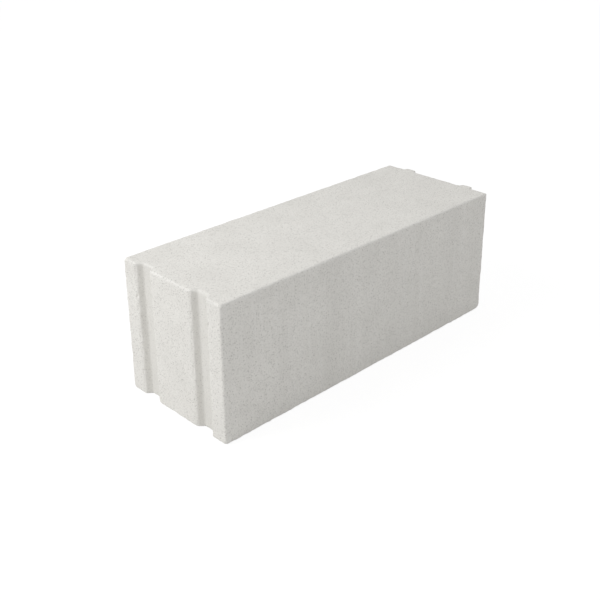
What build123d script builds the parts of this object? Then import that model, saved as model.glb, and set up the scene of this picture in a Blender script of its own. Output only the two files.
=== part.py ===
"""Tongue-and-groove block of aerated concrete, all lengths in millimetres.

The block is one solid of one material. +X runs from the grooved end to the
tongued end, Y runs across the wall and +Z is up as the block is laid. The origin
is at the middle of the bottom face, halfway between the two flat end faces.
"""

import os

from build123d import *

# Body of the block, between its flat faces
block_length = 650.0
block_width = 240.0
block_height = 240.0

# Upright tongues on the +X end, one each side of the middle
tongue_height = 9.0
tongue_root_width = 37.0
tongue_spacing = 137.0
flank_angle = 52.0

# Play that lets the next block's tongues slide down into these grooves
side_clearance = 1.0
tip_clearance = 1.0

# Edges eased by the profile knife, the cutting wires and handling
outer_corner_radius = 1.5
tongue_tip_radius = 2.0
groove_mouth_radius = 2.0
tongue_root_radius = 1.5
groove_root_radius = 1.5
bed_edge_radius = 1.2

# Grooves on the -X end, each the shape of a tongue with the play added
groove_depth = tongue_height + tip_clearance
groove_mouth_width = tongue_root_width + 2 * side_clearance

tongued_end = block_length / 2
grooved_end = -block_length / 2
row_positions = (-tongue_spacing / 2, tongue_spacing / 2)

with BuildPart() as block:
    with BuildSketch(Plane.XY) as plan:
        Rectangle(block_length, block_width)
        with Locations(*[(tongued_end, y) for y in row_positions]):
            Trapezoid(
                tongue_root_width,
                tongue_height,
                flank_angle,
                rotation=-90,
                align=(Align.CENTER, Align.MIN),
            )
        with Locations(*[(grooved_end, y) for y in row_positions]):
            Trapezoid(
                groove_mouth_width,
                groove_depth,
                flank_angle,
                rotation=-90,
                align=(Align.CENTER, Align.MIN),
                mode=Mode.SUBTRACT,
            )

        # Roots and mouths lie between the outer corners of each end face
        tongue_roots = plan.vertices().group_by(Axis.X)[-2].sort_by(Axis.Y)[1:-1]
        fillet(tongue_roots, tongue_root_radius)
        tongue_tips = plan.vertices().group_by(Axis.X)[-1]
        fillet(tongue_tips, tongue_tip_radius)
        groove_roots = plan.vertices().group_by(Axis.X)[1]
        fillet(groove_roots, groove_root_radius)
        groove_mouths = plan.vertices().group_by(Axis.X)[0].sort_by(Axis.Y)[1:-1]
        fillet(groove_mouths, groove_mouth_radius)
        across = plan.vertices().group_by(Axis.Y)
        fillet(across[0] + across[-1], outer_corner_radius)
    extrude(amount=block_height)

    upward = block.edges().group_by(Axis.Z)
    fillet(upward[0] + upward[-1], bed_edge_radius)

block.part.label = "block"
os.makedirs("parts", exist_ok=True)
export_step(block.part, "parts/block.step")
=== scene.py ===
"""Aerated concrete wall block with tongue-and-groove ends, on a white studio floor.

All lengths are in metres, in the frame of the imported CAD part: +X runs from the
grooved end to the tongued end, Y runs across the wall, +Z is up and the floor is
at zero. Wires cut the long faces and a profile knife cuts the ends, so the faces are
flat with faint cutting marks, and handling has crumbled the arrises a little. All
wear is cut into the block, so that it stays inside the CAD part's box.
"""

import logging
import math
import random
from dataclasses import dataclass, field
from enum import Enum
from typing import Callable, Optional

import bmesh
import bpy
import numpy as np
from mathutils import Euler, Matrix, Vector


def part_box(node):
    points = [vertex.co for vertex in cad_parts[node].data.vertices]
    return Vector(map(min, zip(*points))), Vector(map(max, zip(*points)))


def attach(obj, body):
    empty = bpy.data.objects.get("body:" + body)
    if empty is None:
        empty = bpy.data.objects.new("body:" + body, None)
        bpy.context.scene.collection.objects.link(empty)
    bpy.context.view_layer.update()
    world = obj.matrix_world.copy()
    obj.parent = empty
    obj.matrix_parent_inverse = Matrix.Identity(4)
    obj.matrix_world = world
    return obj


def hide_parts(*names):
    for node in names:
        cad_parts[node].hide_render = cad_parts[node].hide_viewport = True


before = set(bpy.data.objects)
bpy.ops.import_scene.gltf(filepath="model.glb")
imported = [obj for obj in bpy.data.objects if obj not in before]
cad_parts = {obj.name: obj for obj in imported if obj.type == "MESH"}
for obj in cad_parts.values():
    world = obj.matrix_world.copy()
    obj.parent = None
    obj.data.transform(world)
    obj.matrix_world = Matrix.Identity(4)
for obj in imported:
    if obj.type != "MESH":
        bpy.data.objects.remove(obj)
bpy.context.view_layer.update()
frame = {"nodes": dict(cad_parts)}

LOG = logging.getLogger("block")
MM = 0.001
TOUCH = 0.01 * MM
FLAT = math.radians(0.5)

Colour = tuple[float, float, float]
Point = tuple[float, float, float]

ORIGIN: Point = (0.0, 0.0, 0.0)
ACROSS: Point = (0.0, 1.0, 0.0)
WHITE: Colour = (1.0, 1.0, 1.0)

# Places of the Mix node's colour sockets, whose names its number sockets share
MIX_SHARE, MIX_FIRST, MIX_SECOND, MIX_RESULT = 0, 6, 7, 2


class Pattern(Enum):
    """A kind of unevenness: the texture that cuts it, and the value that leaves a face whole."""

    CRUMBLED = ("CLOUDS", 0.0)
    PITTED = ("VORONOI", 1.0)

    def __init__(self, texture: str, whole: float) -> None:
        """Names the texture and its value where nothing is cut away."""
        self.texture = texture
        self.whole = whole


class Socket:
    """A node output that takes part in Python arithmetic, one Math node for each operator."""

    def __init__(self, shader: "Shader", output: bpy.types.NodeSocket) -> None:
        """Wraps one output of a shader's node."""
        self.shader = shader
        self.output = output

    def _math(self, operation: str, *values: "Socket | float") -> "Socket":
        """Adds one Math node on the given values."""
        return self.shader.node("ShaderNodeMath", {"operation": operation}, dict(enumerate(values)))

    def __add__(self, other: "Socket | float") -> "Socket":
        """Sum."""
        return self._math("ADD", self, other)

    __radd__ = __add__

    def __sub__(self, other: "Socket | float") -> "Socket":
        """Difference."""
        return self._math("SUBTRACT", self, other)

    def __rsub__(self, other: float) -> "Socket":
        """Difference from a number."""
        return self._math("SUBTRACT", other, self)

    def __mul__(self, other: "Socket | float") -> "Socket":
        """Product."""
        return self._math("MULTIPLY", self, other)

    __rmul__ = __mul__

    def __or__(self, other: "Socket") -> "Socket":
        """The larger of two masks."""
        return self._math("MAXIMUM", self, other)

    def __abs__(self) -> "Socket":
        """Size without sign."""
        return self._math("ABSOLUTE", self)

    def beside(self, name: str) -> "Socket":
        """Gives another output of the same node."""
        return Socket(self.shader, self.output.node.outputs[name])

    def fade(self, start: float, end: float) -> "Socket":
        """Maps start to 0 and end to 1 with a smooth step, and holds both ends.

        Args:
            start: The value that becomes 0.
            end: The value that becomes 1, above or below start.

        Returns:
            The eased value.
        """
        rising = start < end
        inputs = {
            "Value": self,
            "From Min": min(start, end),
            "From Max": max(start, end),
            "To Min": 0.0 if rising else 1.0,
            "To Max": 1.0 if rising else 0.0,
        }
        return self.shader.node("ShaderNodeMapRange", {"interpolation_type": "SMOOTHSTEP"}, inputs)


class Shader:
    """The node tree of one material or of the world."""

    def __init__(self, owner: bpy.types.Material | bpy.types.World) -> None:
        """Empties the tree of its owner.

        Args:
            owner: The material or world to fill.
        """
        owner.use_nodes = True
        self.tree = owner.node_tree
        self.tree.nodes.clear()

    def node(
        self,
        kind: str,
        settings: Optional[dict] = None,
        inputs: Optional[dict] = None,
        output: int | str = 0,
    ) -> Socket:
        """Adds any node.

        Args:
            kind: The node's type.
            settings: Its properties, set before its sockets.
            inputs: Values or links of its sockets, by name or place.
            output: The output that is returned, by name or place.

        Returns:
            That output, ready for arithmetic.
        """
        made = self.tree.nodes.new(kind)
        for name, value in (settings or {}).items():
            setattr(made, name, value)
        for name, value in (inputs or {}).items():
            if isinstance(value, Socket):
                self.tree.links.new(value.output, made.inputs[name])
            else:
                made.inputs[name].default_value = value
        return Socket(self, made.outputs[output] if made.outputs else None)

    def mix(self, share: Socket, first: "Socket | Colour", second: Colour) -> Socket:
        """Mixes two colours.

        Args:
            share: How much of the second shows.
            first: The colour at a share of 0.
            second: The colour at a share of 1.

        Returns:
            The mixed colour.
        """
        under = first if isinstance(first, Socket) else (*first, 1.0)
        settings = {"data_type": "RGBA", "clamp_factor": True}
        inputs = {MIX_SHARE: share, MIX_FIRST: under, MIX_SECOND: (*second, 1.0)}
        return self.node("ShaderNodeMix", settings, inputs, MIX_RESULT)

    def attribute(self, name: str) -> Socket:
        """Reads a number that is stored on the mesh."""
        return self.node("ShaderNodeAttribute", {"attribute_name": name}, output="Fac")

    def seen(self) -> Socket:
        """Tells what the camera sees, straight or in gloss or through glass, from what lights things."""
        camera = self.node("ShaderNodeLightPath", output="Is Camera Ray")
        return camera | camera.beside("Is Glossy Ray") | camera.beside("Is Transmission Ray")


@dataclass(frozen=True)
class Mottle:
    """An uneven tint, with cells per metre along each axis, which comes in as its noise rises."""

    cells: Point
    octaves: float
    rise: tuple[float, float]
    strength: float
    falloff: float = 0.5

    def noise(self, shader: Shader, where: Socket) -> Socket:
        """Adds the noise.

        Args:
            shader: The material's nodes.
            where: Object coordinates.

        Returns:
            The noise, from 0 to 1.
        """
        spread = shader.node("ShaderNodeMapping", {}, {"Vector": where, "Scale": self.cells})
        inputs = {"Vector": spread, "Scale": 1.0, "Detail": self.octaves, "Roughness": self.falloff}
        return shader.node("ShaderNodeTexNoise", {}, inputs)

    def share(self, noise: Socket) -> Socket:
        """Turns the noise into how much of the tint shows."""
        return noise.fade(*self.rise) * self.strength


@dataclass(frozen=True)
class Pores:
    """Round open pores of uneven size, too small for the mesh, with painted shade inside them."""

    per_metre: float
    largest: float
    shade: float
    depth: float
    rim: float = 0.06

    def inside(self, shader: Shader, where: Socket) -> Socket:
        """Finds the insides of the pores.

        Args:
            shader: The material's nodes.
            where: Object coordinates.

        Returns:
            1 inside the pores and 0 outside.
        """
        inputs = {"Vector": where, "Scale": self.per_metre}
        middle = shader.node("ShaderNodeTexVoronoi", {"feature": "F1"}, inputs, output="Distance")
        lot = shader.node("ShaderNodeTexWhiteNoise", {}, {"Vector": middle.beside("Color")})
        return (middle - lot * self.largest).fade(self.rim, -self.rim)


@dataclass(frozen=True)
class AeratedConcrete:
    """Pale matt cellular concrete: a chalky ground full of fine open pores."""

    name: str = "aerated_concrete"
    ground: Colour = (0.830, 0.815, 0.776)
    # Darker tone for random clouds and cutting bands, and also the painted shade on the groove faces at the
    # grooved end
    damp_and_shade: Colour = (0.700, 0.686, 0.648)
    # Lighter tone for cutting lines and grain, and also a painted highlight along the level arrises
    lime_and_highlight: Colour = (0.880, 0.870, 0.845)
    # Painted shade inside the open pores, which are too small for the mesh
    pore_shade: Colour = (0.500, 0.488, 0.458)
    cloud: Mottle = Mottle((16.0,) * 3, octaves=4.0, rise=(0.35, 0.75), strength=0.35, falloff=0.55)
    blotch: Mottle = Mottle((330.0,) * 3, octaves=2.0, rise=(0.40, 0.70), strength=0.55, falloff=0.6)
    cut_bands: Mottle = Mottle((26.0, 26.0, 1.2), octaves=2.0, rise=(0.40, 0.70), strength=0.22)
    wire_lines: Mottle = Mottle((330.0, 330.0, 5.0), octaves=2.0, rise=(0.45, 0.75), strength=0.25)
    grain: Mottle = Mottle((700.0,) * 3, octaves=3.0, rise=(0.50, 0.75), strength=0.6, falloff=0.6)
    fine: Pores = Pores(per_metre=900.0, largest=0.42, shade=0.55, depth=0.6)
    coarse: Pores = Pores(per_metre=380.0, largest=0.40, shade=0.75, depth=1.0)
    cut_skin: tuple[float, float] = (1.5 * MM, 0.5 * MM)
    # Painted shade: how dark the groove faces at the grooved end are made
    groove_shade_strength: float = 0.45
    # Painted highlight along the level arrises, over real worn edges, broken up by the grain
    wear_and_highlight_rise: tuple[float, float] = (0.35, 0.60)
    wear_and_highlight_strength: float = 0.7
    grain_height: float = 0.35
    wire_height: float = 0.35
    relief: float = 0.25 * MM
    bump: float = 0.55
    roughness: float = 0.93
    specular: float = 0.25

    def material(self, half_width: float) -> bpy.types.Material:
        """Builds the material.

        Args:
            half_width: Where the long faces lie, on which the wires left their marks.

        Returns:
            The finished material.
        """
        material = bpy.data.materials.new(self.name)
        shader = Shader(material)
        where = shader.node("ShaderNodeTexCoord", output="Object")
        across = shader.node("ShaderNodeSeparateXYZ", {}, {"Vector": where}, output="Y")
        cut = abs(across).fade(*(half_width - skin for skin in self.cut_skin))
        fine, coarse = (pores.inside(shader, where) for pores in (self.fine, self.coarse))
        grain, lines = (mottle.noise(shader, where) for mottle in (self.grain, self.wire_lines))
        # Painted highlight along the level arrises, partly real wear, broken up by the grain
        wear_and_highlight = shader.attribute("wear_and_highlight") * grain.fade(*self.wear_and_highlight_rise)
        colour = self.ground
        for share, tint in (
            (self.cloud.share(self.cloud.noise(shader, where)), self.damp_and_shade),
            (self.blotch.share(self.blotch.noise(shader, where)), self.damp_and_shade),
            (self.cut_bands.share(self.cut_bands.noise(shader, where)) * cut, self.damp_and_shade),
            (self.wire_lines.share(lines) * cut, self.lime_and_highlight),
            (self.grain.share(grain), self.lime_and_highlight),
            # Painted shade inside the pores
            (fine * self.fine.shade, self.pore_shade),
            (coarse * self.coarse.shade, self.pore_shade),
            # Painted shade on the groove faces near the grooved end, growing deeper into the groove
            (shader.attribute("painted_groove_shade") * self.groove_shade_strength, self.damp_and_shade),
            # Painted highlight on the level arrises, over real wear
            (wear_and_highlight * self.wear_and_highlight_strength, self.lime_and_highlight),
        ):
            colour = shader.mix(share, colour, tint)
        marks = grain * self.grain_height + cut * lines * self.wire_height
        height = marks - coarse * self.coarse.depth - fine * self.fine.depth
        relief = {"Strength": self.bump, "Distance": self.relief, "Height": height}
        inputs = {
            "Base Color": colour,
            "Roughness": self.roughness,
            "Specular IOR Level": self.specular,
            "Normal": shader.node("ShaderNodeBump", {}, relief),
        }
        surface = shader.node("ShaderNodeBsdfPrincipled", {}, inputs)
        shader.node("ShaderNodeOutputMaterial", {}, {"Surface": surface})
        return material


@dataclass(frozen=True)
class StudioWhite:
    """Floor paint that shows white to the camera and keeps a soft shadow."""

    name: str = "studio_white"
    paint: Colour = (0.80, 0.80, 0.80)
    glow: float = 1.16
    glow_share: float = 0.75

    def material(self) -> bpy.types.Material:
        """Builds the material.

        Returns:
            The finished material.
        """
        material = bpy.data.materials.new(self.name)
        shader = Shader(material)
        paint = shader.node("ShaderNodeBsdfDiffuse", {}, {"Color": (*self.paint, 1.0)})
        glow = shader.node("ShaderNodeEmission", {}, {"Strength": self.glow})
        share = shader.seen() * self.glow_share
        both = shader.node("ShaderNodeMixShader", {}, {0: share, 1: paint, 2: glow})
        shader.node("ShaderNodeOutputMaterial", {}, {"Surface": both})
        return material


class Bench:
    """Edit-mode work on one mesh, with elements picked by their place."""

    def __init__(self, thing: bpy.types.Object) -> None:
        """Takes the object whose mesh is shaped."""
        self.thing = thing

    def __enter__(self) -> "Bench":
        """Opens edit mode on this object alone.

        Returns:
            The bench itself.
        """
        bpy.ops.object.select_all(action="DESELECT")
        self.thing.select_set(True)
        bpy.context.view_layer.objects.active = self.thing
        bpy.ops.object.mode_set(mode="EDIT")
        return self

    def __exit__(self, *_: object) -> None:
        """Leaves edit mode."""
        bpy.ops.object.mode_set(mode="OBJECT")

    def pick(self, wanted: Callable[[Vector], bool]) -> None:
        """Selects vertices by place.

        Args:
            wanted: Says of each place whether its vertex is wanted.
        """
        bpy.ops.mesh.select_mode(type="VERT")
        bpy.ops.mesh.select_all(action="DESELECT")
        shape = bmesh.from_edit_mesh(self.thing.data)
        for vertex in shape.verts:
            vertex.select_set(wanted(vertex.co))
        shape.select_flush_mode()
        bmesh.update_edit_mesh(self.thing.data)

    def slice(self, place: Point, normal: Point, **options: bool) -> None:
        """Cuts the whole mesh with a plane.

        Args:
            place: A point of the plane.
            normal: Its normal.
            options: What the bisect operator clears or fills.
        """
        bpy.ops.mesh.select_all(action="SELECT")
        bpy.ops.mesh.bisect(plane_co=place, plane_no=normal, **options)


@dataclass(frozen=True)
class EndProfile:
    """Sizes of the tongues and grooves, as the CAD part has them."""

    tongue_height: float = 9.0 * MM
    tongue_root_width: float = 37.0 * MM
    spacing: float = 137.0 * MM
    flank_angle: float = math.radians(52.0)
    clearance: float = 1.0 * MM
    edge_chamfer: float = 1.3 * MM

    @property
    def groove_depth(self) -> float:
        """Depth of a groove below the end face."""
        return self.tongue_height + self.clearance

    @property
    def mouth(self) -> float:
        """Half the width of a groove at the end face."""
        return self.root + self.clearance

    @property
    def floor(self) -> float:
        """Half the width of a groove at its bottom."""
        return self.mouth - self.groove_depth / math.tan(self.flank_angle)

    @property
    def root(self) -> float:
        """Half the width of a tongue at the end face."""
        return self.tongue_root_width / 2

    @property
    def tip(self) -> float:
        """Half the width of a tongue at its top."""
        return self.root - self.tongue_height / math.tan(self.flank_angle)

    @property
    def centres(self) -> tuple[float, float]:
        """Where the middles of the two rows lie across the block."""
        return (-self.spacing / 2, self.spacing / 2)

    def off_centre(self, y: float) -> float:
        """Distance from the nearest row's middle."""
        return min(abs(y - centre) for centre in self.centres)


@dataclass(frozen=True)
class Relief:
    """One layer of unevenness. On the block itself it is only cut inwards."""

    name: str
    depth: float
    grain: float
    pattern: Pattern = Pattern.CRUMBLED
    octaves: int = 1
    contrast: float = 1.0
    gain: float = 1.0
    crowding: float = 1.0
    at_arrises: float = 0.0

    def texture(self) -> bpy.types.Texture:
        """Makes the layer's pattern.

        Returns:
            The texture, held between 0 and 1.
        """
        made = bpy.data.textures.new(self.name, self.pattern.texture)
        made.noise_scale, made.contrast, made.intensity = self.grain, self.contrast, self.gain
        made.use_clamp = True
        if self.pattern is Pattern.PITTED:
            made.noise_intensity = self.crowding
        else:
            made.noise_depth = self.octaves
        return made


@dataclass(frozen=True)
class Wear:
    """Damage from handling: corners worn off and small bites out of the arrises."""

    seed: int = 2194
    corner_cuts: int = 3
    corner_tilt: tuple[float, float] = (0.5, 1.0)
    corner_depth: tuple[float, float] = (1.2 * MM, 4.8 * MM)
    bites: int = 34
    bite_radius: tuple[float, float] = (1.6 * MM, 4.2 * MM)
    bite_sink: tuple[float, float] = (0.25, 0.55)
    bite_detail: int = 3
    bite_relief: Relief = Relief("bite", depth=1.6 * MM, grain=1.6 * MM)


@dataclass(frozen=True)
class Side:
    """One side of the block on the flat sheet of its UV map."""

    facing: Point
    right: Point
    up: Point
    place: tuple[float, float]


@dataclass
class Block:
    """The one piece: a prism of aerated concrete with its end profile and cut faces."""

    low: Vector
    high: Vector
    profile: EndProfile = field(default_factory=EndProfile)
    wear: Wear = field(default_factory=Wear)
    finish: AeratedConcrete = field(default_factory=AeratedConcrete)
    name: str = "aerated_block"
    voxel: float = 1.0 * MM
    most_triangles: int = 190_000
    # Reach of the painted highlight along the level arrises, which also stands for real wear
    wear_and_highlight_reach: float = 2.5 * MM
    # Share of the groove depth over which the painted shade in the grooves grows to full strength
    groove_shade_reach: float = 0.2
    sheet_size: float = 0.995
    sheet_gap: float = 6.0 * MM
    layers: tuple[Relief, ...] = (
        Relief("sag", depth=0.30 * MM, grain=70.0 * MM),
        Relief("chip", depth=1.1 * MM, grain=16.0 * MM, contrast=3.0, gain=0.8, at_arrises=2.6 * MM),
        Relief("crumble", depth=1.0 * MM, grain=7.0 * MM, octaves=2, contrast=1.8, at_arrises=2.2 * MM),
        Relief("tooth", depth=0.35 * MM, grain=2.8 * MM, contrast=1.6, at_arrises=3.0 * MM),
        Relief(
            "pits",
            depth=0.7 * MM,
            grain=14.5 * MM,
            pattern=Pattern.PITTED,
            contrast=5.0,
            gain=2.0,
            crowding=10.0,
        ),
    )

    @property
    def tongued_face(self) -> float:
        """Where the flat end face between the tongues lies."""
        return self.high.x - self.profile.tongue_height

    @property
    def groove_floor(self) -> float:
        """Where the bottoms of the grooves lie."""
        return self.low.x + self.profile.groove_depth

    def prism(self) -> bpy.types.Object:
        """Models the block with its grooves and tongues, then eases its edges.

        Returns:
            The closed prism, at its place.
        """
        ends = self.profile
        length, width = self.tongued_face - self.low.x, self.high.y - self.low.y
        middle = ((self.tongued_face + self.low.x) / 2, 0.0, self.low.z)
        bpy.ops.object.select_all(action="DESELECT")
        bpy.ops.mesh.primitive_plane_add(size=1.0, location=ORIGIN)
        thing = bpy.context.active_object
        thing.name = thing.data.name = self.name
        with Bench(thing) as bench:
            bpy.ops.transform.resize(value=(length, width, 1.0))
            bpy.ops.transform.translate(value=middle)
            for centre in ends.centres:
                for half in (ends.mouth, ends.floor, ends.root, ends.tip):
                    bench.slice((0.0, centre - half, 0.0), ACROSS)
                    bench.slice((0.0, centre + half, 0.0), ACROSS)
            bench.pick(lambda p: p.x < self.low.x + TOUCH and ends.off_centre(p.y) < ends.floor + TOUCH)
            bpy.ops.transform.translate(value=(ends.groove_depth, 0.0, 0.0))
            bench.pick(lambda p: p.x > self.tongued_face - TOUCH and ends.off_centre(p.y) < ends.tip + TOUCH)
            bpy.ops.transform.translate(value=(ends.tongue_height, 0.0, 0.0))
            bpy.ops.mesh.select_all(action="SELECT")
            lift = {"value": (0.0, 0.0, self.high.z - self.low.z)}
            bpy.ops.mesh.extrude_region_move(TRANSFORM_OT_translate=lift)
            bpy.ops.mesh.select_all(action="SELECT")
            bpy.ops.mesh.normals_make_consistent(inside=False)
            bpy.ops.mesh.dissolve_limited(angle_limit=FLAT)
            bpy.ops.mesh.select_mode(type="EDGE")
            bpy.ops.mesh.select_all(action="SELECT")
            bpy.ops.mesh.bevel(offset=ends.edge_chamfer, segments=1)
        return thing

    def corners(self) -> list[tuple[Vector, Vector]]:
        """Lists the eight outer corners.

        Returns:
            Each corner with its outward diagonal.
        """
        spans = ((self.low.x, self.tongued_face), (self.low.y, self.high.y), (self.low.z, self.high.z))
        return [
            (Vector(span[end] for span, end in zip(spans, ends)), Vector(2 * end - 1 for end in ends))
            for ends in np.ndindex(2, 2, 2)
        ]

    def rub_corners(self, thing: bpy.types.Object) -> None:
        """Cuts each of the eight outer corners with a few tilted planes.

        Args:
            thing: The prism.
        """
        wear = self.wear
        chance = random.Random(wear.seed)
        with Bench(thing) as bench:
            for corner, out in self.corners():
                for _ in range(wear.corner_cuts):
                    tilt = Vector(axis * chance.uniform(*wear.corner_tilt) for axis in out).normalized()
                    place = corner - tilt * chance.uniform(*wear.corner_depth)
                    bench.slice(place, tilt, clear_outer=True, use_fill=True)

    def bite_arrises(self, thing: bpy.types.Object) -> None:
        """Takes small rough bites out of the outward edges.

        Args:
            thing: The prism.
        """
        wear = self.wear
        chance = random.Random(wear.seed + 1)
        edges = self.arrises()
        lengths = np.linalg.norm(edges[:, 1] - edges[:, 0], axis=1)
        lumps = bpy.data.objects.new("bites", bpy.data.meshes.new("bites"))
        bpy.context.scene.collection.objects.link(lumps)
        with Bench(lumps):
            for start, end in chance.choices(edges.tolist(), weights=lengths.tolist(), k=wear.bites):
                radius = chance.uniform(*wear.bite_radius)
                place = Vector(start).lerp(Vector(end), chance.random())
                middle = Vector((0.0, 0.0, (self.low.z + self.high.z) / 2))
                out = Vector(math.copysign(1.0, far) for far in place - middle)
                along = (Vector(end) - Vector(start)).normalized()
                out = (out - along * out.dot(along)).normalized()
                bpy.ops.mesh.primitive_ico_sphere_add(
                    subdivisions=wear.bite_detail,
                    radius=radius,
                    location=place + out * radius * chance.uniform(*wear.bite_sink),
                    rotation=[chance.uniform(0.0, math.tau) for _ in place],
                )
        rough = wear.bite_relief
        self.settle(
            lumps,
            "DISPLACE",
            texture=rough.texture(),
            texture_coords="LOCAL",
            strength=rough.depth,
        )
        self.settle(thing, "BOOLEAN", object=lumps, operation="DIFFERENCE", solver="EXACT", use_self=True)
        bpy.data.objects.remove(lumps)

    def arrises(self) -> np.ndarray:
        """Lists the outward edges of the ideal block.

        Returns:
            One row for each edge, with its two ends.
        """
        ends = self.profile
        left, right, back = self.low.x, self.tongued_face, self.high.y
        outline = [(left, self.low.y)]
        for centre in ends.centres:
            outline += [
                (left, centre - ends.mouth),
                (self.groove_floor, centre - ends.floor),
                (self.groove_floor, centre + ends.floor),
                (left, centre + ends.mouth),
            ]
        outline += [(left, back), (right, back)]
        for centre in reversed(ends.centres):
            outline += [
                (right, centre + ends.root),
                (self.high.x, centre + ends.tip),
                (self.high.x, centre - ends.tip),
                (right, centre - ends.root),
            ]
        outline.append((right, self.low.y))
        edges = [
            ((*start, z), (*end, z))
            for start, end in zip(outline, outline[1:] + outline[:1])
            for z in (self.low.z, self.high.z)
        ]
        for x, y in outline:
            hollow = x == self.groove_floor or (x == right and abs(y) < back)
            if not hollow:
                edges.append(((x, y, self.low.z), (x, y, self.high.z)))
        return np.array(edges)

    @staticmethod
    def nearness(places: np.ndarray, edges: np.ndarray, reach: float) -> np.ndarray:
        """Weighs places by how near they are to any edge.

        Args:
            places: The points, one a row.
            edges: The edges, as two ends each.
            reach: The distance at which the weight has fallen to about a third.

        Returns:
            One weight for each point, 1 at an edge and 0 far off.
        """
        nearest = np.full(len(places), np.inf)
        for start, end in edges:
            along = end - start
            share = np.clip((places - start) @ along / (along @ along), 0.0, 1.0)
            gap = places - start - share[:, None] * along
            nearest = np.minimum(nearest, np.einsum("ij,ij->i", gap, gap))
        return np.exp(-nearest / reach**2)

    @staticmethod
    def read(elements: bpy.types.bpy_prop_collection, name: str, width: int = 3) -> np.ndarray:
        """Reads one property of a mesh's elements.

        Args:
            elements: Its vertices, faces or face corners.
            name: The property.
            width: How many numbers it has.

        Returns:
            One row for each element.
        """
        flat = np.empty(len(elements) * width)
        elements.foreach_get(name, flat)
        return flat.reshape(-1, width)

    @staticmethod
    def weigh(thing: bpy.types.Object, group: str, weights: np.ndarray, steps: int = 100) -> None:
        """Writes a vertex group.

        Args:
            thing: The object to write to.
            group: The group's name.
            weights: One weight for each vertex.
            steps: How finely the weights are told apart.
        """
        made = thing.vertex_groups.new(name=group)
        levels = np.round(weights * steps).astype(int)
        for level in np.unique(levels[levels > 0]).tolist():
            made.add(np.nonzero(levels == level)[0].tolist(), level / steps, "REPLACE")

    @staticmethod
    def settle(thing: bpy.types.Object, kind: str, **settings: object) -> None:
        """Adds a modifier and applies it.

        Args:
            thing: The object to change.
            kind: The modifier's type.
            settings: The modifier's properties.
        """
        bpy.ops.object.select_all(action="DESELECT")
        thing.select_set(True)
        bpy.context.view_layer.objects.active = thing
        modifier = thing.modifiers.new(kind.lower(), kind)
        for name, value in settings.items():
            setattr(modifier, name, value)
        bpy.ops.object.modifier_apply(modifier=modifier.name)

    def roughen(self, thing: bpy.types.Object) -> None:
        """Cuts each relief layer into the mesh, over all of it or along the arrises alone.

        Args:
            thing: The finely meshed prism.
        """
        edges = self.arrises()
        for layer in self.layers:
            if layer.at_arrises:
                near = self.nearness(self.read(thing.data.vertices, "co"), edges, layer.at_arrises)
                self.weigh(thing, layer.name, near)
            whole = layer.pattern.whole
            self.settle(
                thing,
                "DISPLACE",
                texture=layer.texture(),
                texture_coords="LOCAL",
                mid_level=whole,
                strength=layer.depth if whole else -layer.depth,
                vertex_group=layer.name if layer.at_arrises else "",
            )
        thing.vertex_groups.clear()

    def mark(self, thing: bpy.types.Object) -> None:
        """Stores where the finish paints a highlight over the worn level arrises and painted shade on the
        groove faces.

        Args:
            thing: The finished mesh.
        """
        places, edges = self.read(thing.data.vertices, "co"), self.arrises()
        level = edges[edges[:, 0, 2] == edges[:, 1, 2]]
        inside = np.abs(np.abs(places[:, 1]) - self.profile.spacing / 2) < self.profile.mouth
        depth = (places[:, 0] - self.low.x) / self.profile.groove_depth
        inside &= depth < 1.0 + self.groove_shade_reach
        # Painted highlight, over real wear, along the level arrises; painted shade inside the grooves
        masks = {
            "wear_and_highlight": self.nearness(places, level, self.wear_and_highlight_reach),
            "painted_groove_shade": np.clip(depth / self.groove_shade_reach, 0.0, 1.0) * inside,
        }
        for name, values in masks.items():
            thing.data.attributes.new(name, "FLOAT", "POINT").data.foreach_set("value", values)

    def sides(self) -> list[Side]:
        """Lists the six sides and where each lies on the flat sheet.

        Returns:
            The sides, with the long ones stacked and the ends beside them.
        """
        gap, width = self.sheet_gap, self.high.y - self.low.y
        long_left, end_left = gap - self.low.x, gap + self.high.x - self.low.x + gap - self.low.y
        top, bottom, front, rear = (gap + row * (width + gap) for row in range(4))
        return [
            Side((0, 0, 1), (1, 0, 0), (0, 1, 0), (long_left, top - self.low.y)),
            Side((0, 0, -1), (1, 0, 0), (0, -1, 0), (long_left, bottom + self.high.y)),
            Side((0, -1, 0), (1, 0, 0), (0, 0, 1), (long_left, front)),
            Side((0, 1, 0), (-1, 0, 0), (0, 0, 1), (gap + self.high.x, rear)),
            Side((-1, 0, 0), (0, -1, 0), (0, 0, 1), (end_left, top)),
            Side((1, 0, 0), (0, 1, 0), (0, 0, 1), (end_left, bottom)),
        ]

    def unwrap(self, thing: bpy.types.Object) -> None:
        """Lays the six sides of the block out flat in one UV map, all at the same scale.

        Args:
            thing: The finished mesh.
        """
        mesh, sides = thing.data, self.sides()
        facing, centres = (self.read(mesh.polygons, kind) for kind in ("normal", "center"))
        ended = np.abs(centres[:, 0]) > abs(self.groove_floor) - self.sheet_gap
        ribbed = np.abs(centres[:, 1]) < self.high.y - self.sheet_gap
        flank = ended & ribbed & (np.abs(facing).argmax(axis=1) == 1)
        # A tongue's or groove's flank lies with its end on the sheet
        facing[flank] = np.sign(centres[flank]) * (1.0, 0.0, 0.0)
        chosen = (facing @ np.array([side.facing for side in sides]).T).argmax(axis=1)
        owner = np.repeat(chosen, self.read(mesh.polygons, "loop_total", 1).astype(int).ravel())
        corners = self.read(mesh.loops, "vertex_index", 1).astype(int).ravel()
        points = self.read(mesh.vertices, "co")[corners]
        right, up, place = (
            np.array([getattr(side, part) for side in sides])[owner] for part in ("right", "up", "place")
        )
        flat = np.stack([(points * right).sum(axis=1), (points * up).sum(axis=1)], axis=1) + place
        mesh.uv_layers.new(name="OFBake").data.foreach_set("uv", (flat / self.sheet_size).ravel())

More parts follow.
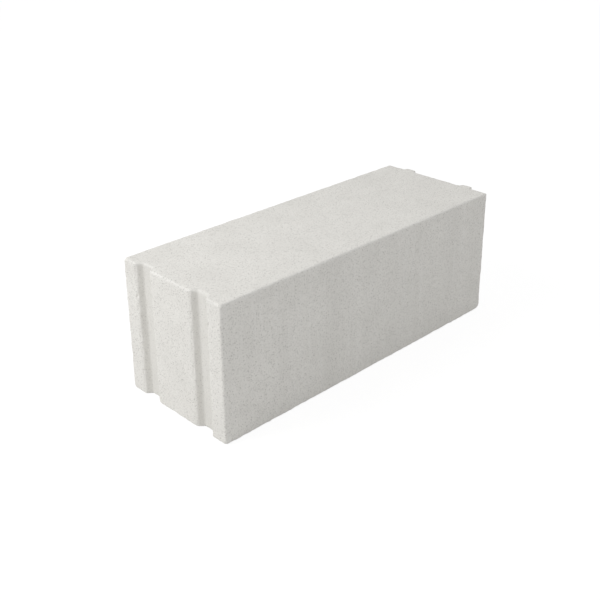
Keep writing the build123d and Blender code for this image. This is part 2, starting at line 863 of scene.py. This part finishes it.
    def build(self) -> bpy.types.Object:
        """Makes the dressed block.

        Returns:
            The finished piece, riding on the root body.
        """
        thing = self.prism()
        self.rub_corners(thing)
        self.bite_arrises(thing)
        self.settle(thing, "REMESH", mode="VOXEL", voxel_size=self.voxel)
        LOG.info("%s: %d fine faces", self.name, len(thing.data.polygons))
        self.roughen(thing)
        triangles = 2 * len(thing.data.polygons)
        self.settle(thing, "DECIMATE", ratio=self.most_triangles / triangles)
        self.mark(thing)
        self.unwrap(thing)
        bpy.ops.object.shade_smooth()
        thing.data.materials.clear()
        thing.data.materials.append(self.finish.material(self.high.y))
        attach(thing, "root")
        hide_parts("block")
        return thing


@dataclass
class Studio:
    """Floor, lamp, world and camera."""

    floor_size: float = 30.0
    finish: StudioWhite = field(default_factory=StudioWhite)
    sky: float = 0.66
    key_place: Point = (-1.50, 0.72, 1.58)
    key_aim: Point = (0.0, 0.0, 0.12)
    key_size: float = 1.0
    key_power: float = 18.1
    azimuth: float = math.radians(-44.18)
    elevation: float = math.radians(23.06)
    roll: float = math.radians(-0.497)
    stand: Point = (-1.0768, -1.0590, 0.8505)
    frame_pixels: float = 600.0
    focal_pixels: float = 940.57
    axis_row: float = 240.0
    sensor: float = 36.0

    def floor(self) -> None:
        """Lays the floor and gives it its finish."""
        bpy.ops.object.select_all(action="DESELECT")
        bpy.ops.mesh.primitive_plane_add(size=self.floor_size, location=ORIGIN)
        plane = bpy.context.active_object
        plane.name = "studio_floor"
        plane.data.materials.append(self.finish.material())

    def key(self) -> None:
        """Hangs the one soft lamp, behind the grooved end and to its left."""
        data = bpy.data.lights.new("key", "AREA")
        data.shape, data.size, data.energy = "SQUARE", self.key_size, self.key_power
        lamp = bpy.data.objects.new("key", data)
        lamp.location = self.key_place
        back = Vector(self.key_place) - Vector(self.key_aim)
        lamp.rotation_euler = back.to_track_quat("Z", "Y").to_euler()
        bpy.context.scene.collection.objects.link(lamp)

    def world(self) -> None:
        """Lights the object evenly and shows white behind it."""
        world = bpy.data.worlds.new("studio")
        bpy.context.scene.world = world
        shader = Shader(world)
        seen = shader.seen()
        level = seen + (1.0 - seen) * self.sky
        back = shader.node("ShaderNodeBackground", {}, {"Color": (*WHITE, 1.0), "Strength": level})
        shader.node("ShaderNodeOutputWorld", {}, {"Surface": back})

    def camera(self) -> None:
        """Sets the camera at the photograph's viewing angle."""
        data = bpy.data.cameras.new("camera")
        data.sensor_width = self.sensor
        data.lens = self.focal_pixels / self.frame_pixels * self.sensor
        data.shift_y = (self.axis_row - self.frame_pixels / 2) / self.frame_pixels
        camera = bpy.data.objects.new("camera", data)
        turn = Euler((math.pi / 2 - self.elevation, 0.0, self.azimuth)).to_matrix()
        turn = turn @ Matrix.Rotation(self.roll, 3, "Z")
        camera.matrix_world = Matrix.Translation(self.stand) @ turn.to_4x4()
        bpy.context.scene.collection.objects.link(camera)
        bpy.context.scene.camera = camera

    def build(self) -> None:
        """Sets up the whole studio."""
        self.floor()
        self.key()
        self.world()
        self.camera()
        bpy.context.scene.view_settings.view_transform = "Standard"


def main() -> None:
    """Builds the block and its studio."""
    logging.basicConfig(level=logging.INFO, format="%(name)s: %(message)s")
    LOG.info("packed nodes: %s", ", ".join(frame["nodes"]))
    piece = Block(*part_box("block")).build()
    LOG.info("%s: %d faces", piece.name, len(piece.data.polygons))
    Studio().build()


if __name__ == "__main__":
    main()
